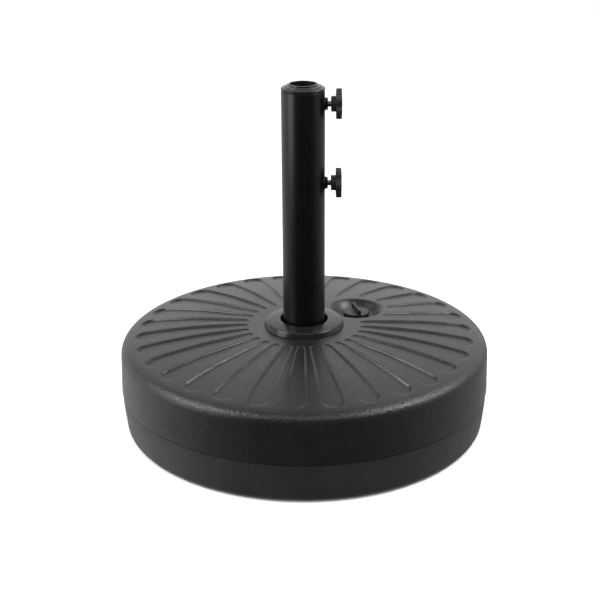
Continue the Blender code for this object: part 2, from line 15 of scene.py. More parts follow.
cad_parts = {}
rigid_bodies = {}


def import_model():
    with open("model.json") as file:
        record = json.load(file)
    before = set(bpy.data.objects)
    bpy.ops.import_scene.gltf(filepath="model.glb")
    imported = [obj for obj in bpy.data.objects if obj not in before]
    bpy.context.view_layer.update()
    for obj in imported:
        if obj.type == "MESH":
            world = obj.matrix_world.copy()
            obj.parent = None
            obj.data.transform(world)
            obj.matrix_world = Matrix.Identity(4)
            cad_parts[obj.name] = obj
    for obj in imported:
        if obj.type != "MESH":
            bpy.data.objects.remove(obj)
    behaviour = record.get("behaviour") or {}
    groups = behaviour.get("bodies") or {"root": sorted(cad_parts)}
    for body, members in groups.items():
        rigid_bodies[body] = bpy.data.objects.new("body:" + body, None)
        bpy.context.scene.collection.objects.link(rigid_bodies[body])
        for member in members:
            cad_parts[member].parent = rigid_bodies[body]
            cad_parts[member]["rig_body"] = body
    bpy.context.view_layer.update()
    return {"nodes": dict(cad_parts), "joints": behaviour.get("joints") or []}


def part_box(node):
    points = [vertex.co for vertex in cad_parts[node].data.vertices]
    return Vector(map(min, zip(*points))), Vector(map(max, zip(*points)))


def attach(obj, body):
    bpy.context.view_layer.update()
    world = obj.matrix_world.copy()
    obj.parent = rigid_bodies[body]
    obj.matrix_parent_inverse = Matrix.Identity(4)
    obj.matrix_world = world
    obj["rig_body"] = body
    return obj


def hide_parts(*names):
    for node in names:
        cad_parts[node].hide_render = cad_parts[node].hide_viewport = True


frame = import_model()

GAP = 0.0003  # kept between pieces that touch on the real object

# Sizes read from the frame
TANK_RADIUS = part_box("tank")[1].x
DOME_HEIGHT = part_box("tank")[1].z
TUBE_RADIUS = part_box("stand_tube")[1].x
TUBE_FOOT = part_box("stand_tube")[0].z
TUBE_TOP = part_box("stand_tube")[1].z
CAP_LOW, CAP_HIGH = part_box("filler_cap")
SEAL_LOW, SEAL_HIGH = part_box("filler_cap_seal")
FILLER = (SEAL_LOW + SEAL_HIGH) / 2
CLAMP_HEIGHTS = {
    joint["name"].split("_")[0]: joint["pos_m"][2]
    for joint in frame["joints"]
    if "knob_turn" in joint["name"]
}

# Tank: the outer shape is smooth, from the dome over its rounded edge to the upper and lower bands
SHOULDER_RADIUS = TANK_RADIUS - 0.0013
SHOULDER_HEIGHT = 0.1063
DOME_EDGE = 0.2296  # where the dome turns into the rounded edge
RIM_HEIGHT = 0.1242
DOME_FLAT_RADIUS = 0.081
PARTING_HEIGHT = 0.055
FOOT_RADIUS = 0.2492
FOOT_ROUNDING = 0.009
WALL = 0.004
CEILING_DEPTH = 0.0065  # from the dome down to the cavity
CAVITY_INNER_RADIUS = 0.040
PARTING_DEPTH = 0.0022  # of the groove where the mould's halves met
GRAINED_SIDES = 4  # rows of faces down the sides that are grained, as far as the groove's floor

PETAL_COUNT = 30
PETAL_STEP = math.tau / PETAL_COUNT
PETAL_FIRST_ANGLE = math.radians(3)
PETAL_HALF_ANGLE = math.radians(3.6)
PETAL_INNER = 0.0778
PETAL_OUTER = 0.232
PETAL_DEPTH = 0.0024
PETAL_INNER_DEPTH = 0.0013
PETAL_TAPER = 0.035  # length over which a petal reaches its full depth
PETAL_WALL = 0.0021  # how wide its sloping wall is
PETAL_MARGIN = 0.0035  # between a shortened petal and the filler dish

WELL_MOUTH_RADIUS = 0.0358
WELL_MOUTH_ROUNDING = 0.0014
WELL_RIM = 0.045  # what is nearer to the tube than this belongs to the well's mouth
WELL_STEP = 0.120  # where the mouth widens to take the collar ring
WELL_FLOOR = TUBE_FOOT - GAP
WELL_RADIUS = 0.029
WELL_TOP_RADIUS = 0.0335
WELL_STRAIGHT_TOP = 0.060
ANCHOR_RECESS_RADIUS = 0.052
ANCHOR_RECESS_DEPTH = 0.014

FILLER_DISTANCE = math.hypot(FILLER.x, FILLER.y)
FILLER_ANGLE = math.atan2(FILLER.y, FILLER.x)
DISH_RADIUS = 0.0383
DISH_FLOOR = 0.125
DISH_FLOOR_RADIUS = 0.0222
DISH_LIP = 0.0016  # how far past DISH_RADIUS its wall begins to leave the dome
DISH_WALL_STEPS = 20
DISH_SEGMENTS = 96
NECK_RADIUS = 0.0145
NECK_OUTER_RADIUS = 0.019
NECK_BOTTOM = 0.113
NECK_HOLE = (0.110, 0.132)  # low and high ends of the cutter that opens the neck into the cavity

COLLAR_BORE = 0.0327
TUBE_WALL = 0.0015
SEAM_ANGLE = math.radians(118)  # the tube's seam weld, inside it
SEAM_WIDTH = 0.0022
SEAM_HEIGHT = 0.0005
BUSHING_BORE = 0.017
BUSHING_SKIRT_WALL = 0.0022

CAP_SEAT = CAP_LOW.z + 0.0117
CAP_TOP = CAP_HIGH.z - 0.0072
CAP_RADIUS = 0.0183
PLUG_RADIUS = NECK_RADIUS - GAP
PLUG_HOLLOW_RADIUS = 0.0115
PLUG_HOLLOW_TOP = 0.129
PLUG_PITCH = 0.004
FIN_TURN = math.radians(-75.4)  # the fin's direction, from +X

SCREW_RADIUS = 0.004
SCREW_ROOT = 0.00338
SCREW_PITCH = 0.00125
SCREW_HOLE = 0.0043
SCREW_HOLE_ENDS = (0.020, 0.036)  # how far from the tube's axis the cutters of the screw holes run
WELD_RADIUS = 0.0009
KNOB_RADIUS = 0.020
KNOB_VALLEY = 0.004  # how far the gaps between lobes reach in
KNOB_LOBES = 6
KNOB_SEGMENTS = 144
LOBE_TURN = {"upper": 0.0, "lower": math.radians(30)}  # lobes of a knob, from straight up

BOLT_RADIUS = 0.005
BOLT_ROOT = 0.0042
BOLT_PITCH = 0.0015
BOLT_HOLE = BOLT_RADIUS + GAP
BOLT_CUTTER = (0.015, 0.036)  # low and high ends of the cutter of the foot nut's hole

FINE = 192  # segments of the large turned pieces
MEDIUM = 96  # segments of the cap, seal, washer and chamfers
SMALL = 72  # segments of the small turned pieces
SHARP = math.radians(38)  # edges sharper than this are shaded as edges


# Mesh tools


def arc(centre, radii, start, end, steps):
    """(radius, height) points of part of an ellipse, both ends included, angles in degrees."""
    angles = np.radians(np.linspace(start, end, steps + 1))
    return [(centre[0] + radii[0] * math.cos(a), centre[1] + radii[1] * math.sin(a)) for a in angles]


def eased(points, steps=5, closed=False):
    """A profile whose corners are rounded. A point is (radius, height) or (radius, height, rounding)."""
    result = []
    count = len(points)
    for i, point in enumerate(points):
        corner = Vector(point[:2])
        if len(point) < 3 or (not closed and i in (0, count - 1)):
            result.append(tuple(corner))
            continue
        before = Vector(points[i - 1][:2]) - corner
        after = Vector(points[(i + 1) % count][:2]) - corner
        half = before.angle(after) / 2
        reach = min(point[2] / math.tan(half), 0.49 * before.length, 0.49 * after.length)
        radius = reach * math.tan(half)
        middle = corner + (before.normalized() + after.normalized()).normalized() * radius / math.sin(half)
        first = (corner + before.normalized() * reach - middle).normalized()
        last = (corner + after.normalized() * reach - middle).normalized()
        for step in range(steps + 1):
            result.append(tuple(middle + first.slerp(last, step / steps) * radius))
    return result


def revolve(profile, segments, closed=False):
    """Vertices and faces turned about Z. The profile runs down the outer side; a closed one comes back up."""
    vertices, rings, faces = [], [], []
    angles = [math.tau * i / segments for i in range(segments)]
    for radius, height in profile:
        if radius < 1e-7:
            rings.append([len(vertices)] * segments)
            vertices.append((0.0, 0.0, height))
        else:
            rings.append(range(len(vertices), len(vertices) + segments))
            vertices.extend((radius * math.cos(a), radius * math.sin(a), height) for a in angles)
    pairs = list(zip(rings, rings[1:]))
    if closed:
        pairs.append((rings[-1], rings[0]))
    for upper, lower in pairs:
        for i in range(segments):
            j = (i + 1) % segments
            corners = [upper[i], lower[i], lower[j], upper[j]]
            face = [v for k, v in enumerate(corners) if v != corners[k - 1]]
            if len(face) > 2:
                faces.append(face)
    return vertices, faces


def loft(rings, closed=False):
    """Vertices and faces between rings of the same number of points, the first ring on top.

    The two end rings are capped, or joined to each other where the loft is closed.
    """
    vertices = [point for ring in rings for point in ring]
    count = len(rings[0])
    numbered = [range(r * count, (r + 1) * count) for r in range(len(rings))]
    pairs = list(zip(numbered, numbered[1:]))
    if closed:
        pairs.append((numbered[-1], numbered[0]))
    faces = []
    for upper, lower in pairs:
        for i in range(count):
            j = (i + 1) % count
            faces.append([upper[i], lower[i], lower[j], upper[j]])
    if not closed:
        faces.append(list(numbered[0]))
        faces.append(list(numbered[-1])[::-1])
    return vertices, faces


def thread_tooth(phase):
    """Height of a thread's flank, 0 at its root and 1 at its crest."""
    root_share, flank_share = 0.25, 0.60
    slope = abs(2 * (phase % 1.0) - 1)
    return min(max((slope - root_share) / flank_share, 0.0), 1.0)


def threaded_rod(low, high, crest, root, pitch, chamfer, segments=40, steps=10):
    """A right-hand threaded rod along Z with a chamfer at both ends."""
    rows = max(2, round((high - low) / pitch * steps))
    rings = []
    for row in range(rows, -1, -1):
        z = low + (high - low) * row / rows
        limit = crest - max(0.0, chamfer - (z - low), chamfer - (high - z))
        ring = []
        for i in range(segments):
            radius = root + (crest - root) * thread_tooth(z / pitch - i / segments)
            radius = min(radius, limit)
            angle = math.tau * i / segments
            ring.append((radius * math.cos(angle), radius * math.sin(angle), z))
        rings.append(ring)
    return loft(rings)


def new_object(name, vertices, faces):
    """A mesh object, linked to the scene."""
    mesh = bpy.data.meshes.new(name)
    mesh.from_pydata([tuple(v) for v in vertices], [], [list(f) for f in faces])
    mesh.update()
    obj = bpy.data.objects.new(name, mesh)
    bpy.context.scene.collection.objects.link(obj)
    return obj


def cylinder(name, radius, low, high, segments=SMALL):
    """A plain closed cylinder along Z."""
    return new_object(name, *revolve([(0, high), (radius, high), (radius, low), (0, low)], segments))


def bore_cutter(radius, chamfer, inner, mouth, outer):
    """A cutter along Z for a bore that a chamfer widens at its mouth. It goes on from there to outer."""
    profile = [
        (0, outer),
        (radius + chamfer, outer),
        (radius + chamfer, mouth),
        (radius, mouth - math.copysign(chamfer, mouth - inner)),
        (radius, inner),
        (0, inner),
    ]
    if outer < inner:
        profile.reverse()
    return new_object("bore", *revolve(profile, SMALL))


def combined(obj, other, operation):
    """Applies one Boolean with a closed helper object, and removes the helper."""
    step = obj.modifiers.new("cut", "BOOLEAN")
    step.operation = operation
    step.solver = "MANIFOLD"
    step.object = other
    bpy.context.view_layer.update()
    graph = bpy.context.evaluated_depsgraph_get()
    mesh = bpy.data.meshes.new_from_object(obj.evaluated_get(graph))
    obj.modifiers.remove(step)
    old = obj.data
    obj.data = mesh
    mesh.name = obj.name
    bpy.data.meshes.remove(old)
    bpy.data.objects.remove(other)
    return obj


def faced_outward(obj):
    """Turns the faces of a closed mesh to its outside."""
    work = bmesh.new()
    work.from_mesh(obj.data)
    bmesh.ops.recalc_face_normals(work, faces=work.faces)
    work.to_mesh(obj.data)
    work.free()
    return obj


def moved(obj, matrix):
    """The object with its mesh moved and turned."""
    obj.data.transform(matrix)
    return obj


def along_x(height, start=0.0):
    """Lays a piece made along Z down along +X, at this height and start."""
    return Matrix.Translation((start, 0, height)) @ Matrix.Rotation(math.pi / 2, 4, "Y")


def at_filler(turn=0.0):
    """Puts a piece made around the origin on the filler's axis."""
    return Matrix.Translation((FILLER.x, FILLER.y, 0)) @ Matrix.Rotation(turn, 4, "Z")


def finish_piece(obj, node, materials, sharp=SHARP):
    """Smooth shading, materials, and the CAD node that this piece stands for."""
    slots = [polygon.material_index for polygon in obj.data.polygons]
    obj.data.materials.clear()
    for made in materials:
        obj.data.materials.append(made)
    obj.data.polygons.foreach_set("material_index", [min(s, len(materials) - 1) for s in slots])
    obj.data.shade_smooth()
    obj.data.set_sharp_from_angle(angle=sharp)
    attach(obj, frame["nodes"][node]["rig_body"])
    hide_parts(node)
    return obj


# Materials


def map_range(tree, source, low, high, from_low, from_high):
    """A node that takes a socket's value from one range to another."""
    node = tree.nodes.new("ShaderNodeMapRange")
    values = {"From Min": from_low, "From Max": from_high, "To Min": low, "To Max": high}
    for label, value in values.items():
        node.inputs[label].default_value = value
    tree.links.new(source, node.inputs["Value"])
    return node


class Surface:
    """A Principled material with helpers for the nodes that feed it."""

    def __init__(self, name, roughness, metallic=0.0, specular=0.5):
        self.material = bpy.data.materials.new(name)
        self.material.use_nodes = True
        self.nodes = self.material.node_tree.nodes
        self.links = self.material.node_tree.links
        self.shader = self.nodes["Principled BSDF"]
        self.shader.inputs["Roughness"].default_value = roughness
        self.shader.inputs["Metallic"].default_value = metallic
        self.shader.inputs["Specular IOR Level"].default_value = specular
        self.place = self.nodes.new("ShaderNodeTexCoord").outputs["Object"]
        self.height = None

    def stretched(self, scale):
        mapping = self.nodes.new("ShaderNodeMapping")
        mapping.inputs["Scale"].default_value = scale
        self.links.new(self.place, mapping.inputs["Vector"])
        return mapping.outputs["Vector"]

    def noise(self, scale, detail=2.0, roughness=0.5, place=None):
        texture = self.nodes.new("ShaderNodeTexNoise")
        texture.inputs["Scale"].default_value = scale
        texture.inputs["Detail"].default_value = detail
        texture.inputs["Roughness"].default_value = roughness
        self.links.new(place or self.place, texture.inputs["Vector"])
        return texture.outputs["Fac"]

    def upward(self):
        """The height above the object's origin."""
        parts = self.nodes.new("ShaderNodeSeparateXYZ")
        self.links.new(self.place, parts.inputs["Vector"])
        return parts.outputs["Z"]

    def cells(self, scale, smoothness=0.6):
        texture = self.nodes.new("ShaderNodeTexVoronoi")
        texture.feature = "SMOOTH_F1"
        texture.inputs["Scale"].default_value = scale
        texture.inputs["Smoothness"].default_value = smoothness
        self.links.new(self.place, texture.inputs["Vector"])
        return texture.outputs["Distance"]

    def ramp(self, source, low, high, from_low=0.0, from_high=1.0):
        """A number or a colour that goes from low to high as the source does."""
        tree = self.material.node_tree
        if not isinstance(low, tuple):
            return map_range(tree, source, low, high, from_low, from_high).outputs["Result"]
        share = map_range(tree, source, 0, 1, from_low, from_high)
        mix = self.nodes.new("ShaderNodeMix")
        mix.data_type = "RGBA"
        mix.inputs["A"].default_value = (*low, 1)
        mix.inputs["B"].default_value = (*high, 1)
        self.links.new(share.outputs["Result"], mix.inputs["Factor"])
        return mix.outputs["Result"]

    def colour(self, source, low, high, from_low=0.3, from_high=0.7):
        self.links.new(self.ramp(source, low, high, from_low, from_high), self.shader.inputs["Base Color"])
        return self

    def rough(self, source, low, high, from_low=0.3, from_high=0.7):
        self.links.new(self.ramp(source, low, high, from_low, from_high), self.shader.inputs["Roughness"])
        return self

    def bump(self, source, depth, strength=1.0):
        """Adds a relief of this depth in metres over the ones before it."""
        node = self.nodes.new("ShaderNodeBump")
        node.inputs["Distance"].default_value = depth
        if isinstance(strength, float):
            node.inputs["Strength"].default_value = strength
        else:
            self.links.new(strength, node.inputs["Strength"])
        self.links.new(source, node.inputs["Height"])
        if self.height:
            self.links.new(self.height, node.inputs["Normal"])
        self.height = node.outputs["Normal"]
        self.links.new(self.height, self.shader.inputs["Normal"])
        return self


def grained_resin():
    """Blow-moulded polyethylene with a pebbled grain, deeper on the tank's edge and sides than on its top."""
    made = Surface("grained_resin", 0.5, specular=0.5)
    mottle = made.noise(28, 3)
    made.colour(mottle, (0.0054, 0.0054, 0.0056), (0.0074, 0.0074, 0.0077))
    made.rough(made.noise(160, 3), 0.29, 0.37)
    made.bump(made.noise(14, 2), 0.0016, 0.35)
    strength = made.ramp(made.upward(), 0.95, 0.50, 0.118, 0.125)
    made.bump(made.cells(540), 0.00050, strength)
    made.bump(made.noise(1700, 2), 0.00003, 0.7)
    return made.material


def smooth_resin_painted_floor_light():
    """The same resin where the mould is smooth: the lower band, underside and well. Its colour is lighter
    than the grained resin's as painted light, standing in for the white floor's light on the downward-facing
    lower band.
    """
    made = Surface("smooth_resin_painted_floor_light", 0.4, specular=0.5)
    # painted floor light: this colour is lighter than the grained resin's to stand in for the floor's light
    # on the lower band
    made.colour(made.noise(22, 3), (0.0105, 0.0105, 0.0109), (0.0135, 0.0135, 0.0139))
    made.rough(made.noise(90, 4), 0.38, 0.47)
    made.bump(made.noise(12, 2), 0.0018, 0.4)
    made.bump(made.noise(900, 2), 0.00004, 0.6)
    return made.material


def trim_resin():
    """Injection-moulded satin resin of the collar ring and bushing."""
    made = Surface("trim_resin", 0.24, specular=0.38)
    made.colour(made.noise(60, 2), (0.0060, 0.0060, 0.0062), (0.0080, 0.0080, 0.0082))
    made.rough(made.noise(240, 3), 0.21, 0.27)
    made.bump(made.noise(180, 2), 0.00008, 0.5)
    return made.material


def knob_resin():
    """Filled resin with a fine spark-eroded texture."""
    made = Surface("knob_resin", 0.48, specular=0.45)
    made.colour(made.noise(90, 2), (0.0075, 0.0075, 0.0078), (0.0105, 0.0105, 0.0108))
    made.rough(made.noise(700, 3), 0.42, 0.54)
    made.bump(made.noise(3200, 2), 0.00004, 0.8)
    return made.material


def cap_resin():
    """The filler cap's resin, smoother and blacker than the knobs'."""
    made = Surface("cap_resin", 0.42, specular=0.50)
    made.colour(made.noise(90, 2), (0.0024, 0.0024, 0.0025), (0.0034, 0.0034, 0.0035))
    made.rough(made.noise(500, 3), 0.38, 0.46)
    made.bump(made.noise(2200, 2), 0.00004, 0.7)
    return made.material


def powder_coat():
    """Satin black powder coat with its slight orange peel."""
    made = Surface("powder_coat", 0.31, specular=0.40)
    made.colour(made.noise(40, 2), (0.0014, 0.0014, 0.0015), (0.0020, 0.0020, 0.0021))
    made.rough(made.noise(260, 3), 0.28, 0.34)
    made.bump(made.noise(620, 2), 0.00006, 0.6)
    made.bump(made.noise(2600, 1), 0.00002, 0.6)
    return made.material


def plated_steel(name, dark, light, roughness):
    """Zinc plate: a little cloudy, with fine drawing marks."""
    made = Surface(name, roughness, metallic=1.0)
    made.colour(made.noise(300, 4), dark, light)
    made.rough(made.noise(900, 3), roughness - 0.07, roughness + 0.10)
    made.bump(made.noise(260, 3, place=made.stretched((1, 12, 12))), 0.00003, 0.5)
    return made.material


def seal_rubber():
    """Matt black rubber, a little dusty."""
    made = Surface("seal_rubber", 0.7, specular=0.35)
    made.colour(made.noise(220, 3), (0.0085, 0.0085, 0.0085), (0.0120, 0.0120, 0.0120))
    made.bump(made.noise(2400, 2), 0.00004, 0.7)
    return made.material


# Tank


def dome_height(radius):
    """A parabola, level inside DOME_FLAT_RADIUS, that falls to RIM_HEIGHT at DOME_EDGE."""
    share = (DOME_EDGE - np.clip(radius, DOME_FLAT_RADIUS, DOME_EDGE)) / (DOME_EDGE - DOME_FLAT_RADIUS)
    return RIM_HEIGHT + (DOME_HEIGHT - RIM_HEIGHT) * (1 - (1 - share) ** 2)


def edge_points(steps):
    """The rounded edge: a curve that leaves the dome at its own slope and meets the upper band."""
    slope = -2 * (DOME_HEIGHT - RIM_HEIGHT) / (DOME_EDGE - DOME_FLAT_RADIUS)
    start = Vector((DOME_EDGE, RIM_HEIGHT))
    end = Vector((SHOULDER_RADIUS, SHOULDER_HEIGHT))
    width, height = end.x - start.x, start.y - end.y
    handles = (start + Vector((1, slope)) * 0.58 * width, end + Vector((0, 1)) * 0.70 * height)
    points = geometry.interpolate_bezier(start, handles[0], handles[1], end, steps + 1)
    return [(point[0], point[1]) for point in points]


def petal_starts():
    """Where each petal begins: at PETAL_INNER, or past the filler dish if it would meet it."""
    keep_out = DISH_RADIUS + PETAL_MARGIN
    starts = []
    for i in range(PETAL_COUNT):
        start = PETAL_INNER
        for side in (-PETAL_HALF_ANGLE, PETAL_HALF_ANGLE):
            away = (PETAL_FIRST_ANGLE + i * PETAL_STEP + side - FILLER_ANGLE + math.pi) % math.tau - math.pi
            beside = FILLER_DISTANCE * math.sin(away)
            if abs(away) < math.pi / 2 and abs(beside) < keep_out:
                start = max(start, FILLER_DISTANCE * math.cos(away) + math.sqrt(keep_out**2 - beside**2))
        starts.append(start)
    return np.array(starts)


def petal_relief(x, y):
    """How deep the petals are at each point, from the distance to the nearest petal's outline."""
    index = np.round((np.arctan2(y, x) - PETAL_FIRST_ANGLE) / PETAL_STEP).astype(int) % PETAL_COUNT
    axis = PETAL_FIRST_ANGLE + index * PETAL_STEP
    along = x * np.cos(axis) + y * np.sin(axis)
    across = np.abs(y * np.cos(axis) - x * np.sin(axis))
    slope, level = math.sin(PETAL_HALF_ANGLE), math.cos(PETAL_HALF_ANGLE)
    inner = petal_starts()[index] / (1 - slope)
    outer = PETAL_OUTER / (1 + slope)
    side = along * level + across * slope
    distance = across * level - along * slope
    distance = np.where(side < inner * level, np.hypot(along - inner, across) - inner * slope, distance)
    distance = np.where(side > outer * level, np.hypot(along - outer, across) - outer * slope, distance)
    share = np.clip(0.5 - distance / PETAL_WALL, 0, 1)
    taper = np.clip((along - inner) / PETAL_TAPER, 0, 1)
    depth = PETAL_INNER_DEPTH + (PETAL_DEPTH - PETAL_INNER_DEPTH) * taper
    return depth * share * share * (3 - 2 * share)


def tank_angles():
    """Columns of the tank's grid, closest together along the petals' walls."""
    half = [0, 0.8, 1.6, 2.3, 2.8, 3.1, 3.35, 3.6, 3.85, 4.1, 4.4, 4.9, 5.45]
    sector = [-6.0] + [-a for a in half[:0:-1]] + half
    axes = [PETAL_FIRST_ANGLE + i * PETAL_STEP for i in range(PETAL_COUNT)]
    return np.array([axis + math.radians(a) for axis in axes for a in sector])


def spread(start, end, step):
    """Even steps from start up to, not including, end."""
    count = max(1, round((end - start) / step))
    return [start + (end - start) * i / count for i in range(count)]


def tank_rows():
    """(radius, height) rows from the well's mouth over the dome and the edge, before the petals are sunk.

    They are closest together where the petals begin, beside the tube or past the dish, and where they end.
    """
    mouth_edge = WELL_MOUTH_RADIUS + WELL_MOUTH_ROUNDING
    radii = (
        spread(mouth_edge, 0.075, 0.0065)
        + spread(0.075, 0.090, 0.0010)
        + spread(0.090, 0.104, 0.0035)
        + spread(0.104, 0.147, 0.0014)
        + spread(0.147, 0.2085, 0.0070)
        + spread(0.2085, DOME_EDGE, 0.0010)
    )
    centre = (mouth_edge, DOME_HEIGHT - WELL_MOUTH_ROUNDING)
    mouth = arc(centre, (WELL_MOUTH_ROUNDING, WELL_MOUTH_ROUNDING), 180, 90, 4)[:-1]
    return mouth + [(r, float(dome_height(r))) for r in radii] + edge_points(18)


def tank_sides():
    """(radius, height) points from below the rounded edge down the bands, under the tank and up the well."""
    return [
        (SHOULDER_RADIUS + 0.0004, 0.089),
        (TANK_RADIUS - 0.0004, 0.071),
        (TANK_RADIUS, PARTING_HEIGHT + 0.0022),
        (TANK_RADIUS - 0.0002, PARTING_HEIGHT + 0.0008),
        (TANK_RADIUS - PARTING_DEPTH, PARTING_HEIGHT + 0.0005),
        (TANK_RADIUS - PARTING_DEPTH, PARTING_HEIGHT - 0.0007),
        (TANK_RADIUS - 0.0013, PARTING_HEIGHT - 0.0009),
        (TANK_RADIUS - 0.0011, PARTING_HEIGHT - 0.0030),
        (TANK_RADIUS - 0.0013, 0.042),
        (FOOT_RADIUS + 0.0018, 0.025),
        *arc((FOOT_RADIUS - FOOT_ROUNDING, FOOT_ROUNDING), (FOOT_ROUNDING, FOOT_ROUNDING), 0, -90, 8),
        (0.190, 0),
        (0.120, 0),
        *eased(
            [
                (0.120, 0),
                (ANCHOR_RECESS_RADIUS + 0.004, 0, 0.003),
                (ANCHOR_RECESS_RADIUS, ANCHOR_RECESS_DEPTH, 0.003),
                (BOLT_HOLE, ANCHOR_RECESS_DEPTH, 0.0003),
                (BOLT_HOLE, WELL_FLOOR, 0.0003),
                (WELL_RADIUS, WELL_FLOOR, 0.001),
                (WELL_RADIUS, WELL_STRAIGHT_TOP, 0.01),
                (WELL_TOP_RADIUS, WELL_STEP),
            ],
            3,
        )[1:],
        (WELL_MOUTH_RADIUS, WELL_STEP),
    ]


def ring_of(angles, radius, height):
    """A level ring of points at these angles."""
    return np.column_stack([radius * np.cos(angles), radius * np.sin(angles), np.full(len(angles), height)])


def zipped(fine, coarse, every):
    """Faces between a fine ring above and a coarse ring below that keeps one point in every few."""
    faces = []
    half = every // 2
    count = len(coarse)
    for i in range(count):
        j = (i + 1) % count
        steps = [fine[(i * every + k) % len(fine)] for k in range(every + 1)]
        faces += [[steps[k], coarse[i], steps[k + 1]] for k in range(half)]
        faces.append([steps[half], coarse[i], coarse[j], steps[half + 1]])
        faces += [[steps[k], coarse[j], steps[k + 1]] for k in range(half + 1, every)]
    return faces


def tank_shell():
    """The tank's outer surface as a grid of columns and rows, with the petals sunk into it.

    The last value says of each face whether the mould is smooth there, which is also where the resin is
    painted lighter for the floor's light.
    """
    angles = tank_angles()
    every = 3  # the sides keep one column in three
    coarse = angles[::every]
    top, sides = tank_rows(), tank_sides()
    rings, points, faces, is_smooth_and_floor_lit = [], [], [], []
    for row, (radius, height) in enumerate(top + sides):
        chosen = angles if row < len(top) else coarse
        ring = ring_of(chosen, radius, height)
        if row < len(top):
            ring[:, 2] -= petal_relief(ring[:, 0], ring[:, 1])
        start = sum(len(p) for p in points)
        rings.append(range(start, start + len(ring)))
        points.append(ring)
    order = list(zip(rings, rings[1:])) + [(rings[-1], rings[0])]
    for row, (upper, lower) in enumerate(order):
        before = len(faces)
        if len(upper) == len(lower):
            count = len(upper)
            for i in range(count):
                j = (i + 1) % count
                faces.append([upper[i], lower[i], lower[j], upper[j]])
        elif len(upper) > len(lower):
            faces += zipped(upper, lower, every)
        else:
            faces += [face[::-1] for face in zipped(lower, upper, every)]
        is_smooth_and_floor_lit += [row >= len(top) + GRAINED_SIDES] * (len(faces) - before)
    return np.concatenate(points), faces, is_smooth_and_floor_lit


def dish_rings():
    """Rings of the filler dish: a wall that curves in from the dome and out into a level floor."""
    angles = np.array([math.tau * i / DISH_SEGMENTS for i in range(DISH_SEGMENTS)])

    def ring(radius, height=DISH_FLOOR, share=0.0):
        x = FILLER.x + radius * np.cos(angles)
        y = FILLER.y + radius * np.sin(angles)
        return np.column_stack([x, y, height + (dome_height(np.hypot(x, y)) - height) * share])

    rings = []
    for step in range(DISH_WALL_STEPS + 1):
        share = 1 - step / DISH_WALL_STEPS
        radius = DISH_FLOOR_RADIUS + (DISH_RADIUS + DISH_LIP - DISH_FLOOR_RADIUS) * share
        rings.append(ring(radius, share=share * share * (3 - 2 * share)))
    rings.append(ring(0.0205))
    rings.append(ring(NECK_RADIUS + 0.0009))
    rings.append(ring(NECK_RADIUS + 0.0003, height=DISH_FLOOR - 0.0002))
    rings.append(ring(NECK_RADIUS, height=DISH_FLOOR - 0.0009))
    return rings


def from_filler(point):
    """How far a point is from the filler's axis."""
    return math.hypot(point.x - FILLER.x, point.y - FILLER.y)


def open_dish(work):
    """Takes the dome away around the filler, and joins the opening to the dish's own rings."""
    mouth = DISH_RADIUS + DISH_LIP
    reach = mouth + 0.0004
    apothem = mouth * math.cos(math.pi / DISH_SEGMENTS)
    near = [
        v
        for v in work.verts
        if v.co.z > WELL_STEP and v.co.xy.length > WELL_RIM and from_filler(v.co) < reach
    ]
    bmesh.ops.delete(work, geom=near, context="VERTS")
    rim = [side for side in work.edges if side.is_boundary]
    rings = [[work.verts.new(point) for point in ring] for ring in dish_rings()]
    first = rings[0]
    points = list({v for side in rim for v in side.verts}) + first
    number = {v: i for i, v in enumerate(points)}
    edges = [(number[side.verts[0]], number[side.verts[1]]) for side in rim]
    edges += [(number[first[i - 1]], number[first[i]]) for i in range(DISH_SEGMENTS)]
    flat = [Vector((v.co.x, v.co.y)) for v in points]
    triangles = geometry.delaunay_2d_cdt(flat, edges, [], 1, 1e-7)[2]
    for triangle in triangles:
        middle = sum((flat[i] for i in triangle), Vector((0, 0))) / 3
        if from_filler(middle) > apothem:
            work.faces.new([points[i] for i in triangle])
    for upper, lower in zip(rings, rings[1:]):
        for i in range(DISH_SEGMENTS):
            j = (i + 1) % DISH_SEGMENTS
            work.faces.new([upper[j], lower[j], lower[i], upper[i]])
    work.faces.new(rings[-1])
    bmesh.ops.recalc_face_normals(work, faces=work.faces)


def cavity_object():
    """The space for water or sand, less the dish's walls, with the neck's hole."""
    radii = np.linspace(DOME_FLAT_RADIUS, DOME_EDGE, 10)
    ceiling = [(r, float(dome_height(r)) - CEILING_DEPTH) for r in radii]
    section = [
        (CAVITY_INNER_RADIUS, DOME_HEIGHT - CEILING_DEPTH),
        *ceiling,
        *arc((DOME_EDGE, SHOULDER_HEIGHT - 0.002), (SHOULDER_RADIUS - WALL - DOME_EDGE, 0.0092), 80, 0, 5),
        (TANK_RADIUS - WALL - 0.001, PARTING_HEIGHT),
        (FOOT_RADIUS - WALL, FOOT_ROUNDING + 0.001),
        (FOOT_RADIUS - FOOT_ROUNDING, WALL),
        (ANCHOR_RECESS_RADIUS + 0.010, WALL),
        (ANCHOR_RECESS_RADIUS + 0.004, ANCHOR_RECESS_DEPTH + WALL),
        (WELL_RADIUS + WALL, ANCHOR_RECESS_DEPTH + WALL),
        (WELL_RADIUS + WALL, WELL_STRAIGHT_TOP),
        (CAVITY_INNER_RADIUS, WELL_STEP - WALL),
    ]
    housing_section = [
        (0, DOME_HEIGHT),
        (DISH_RADIUS + WALL, DOME_HEIGHT),
        (DISH_RADIUS + WALL, DOME_HEIGHT - 0.008),
        (DISH_FLOOR_RADIUS + WALL, DISH_FLOOR - WALL),
        (NECK_OUTER_RADIUS, DISH_FLOOR - WALL),
        (NECK_OUTER_RADIUS, NECK_BOTTOM),
        (0, NECK_BOTTOM),
    ]
    cavity = new_object("cavity", *revolve(section, 120, closed=True))
    housing = moved(new_object("housing", *revolve(housing_section, SMALL)), at_filler())
    hole = moved(cylinder("hole", NECK_RADIUS - 0.0001, *NECK_HOLE), at_filler())
    combined(cavity, housing, "DIFFERENCE")
    return combined(cavity, hole, "UNION")


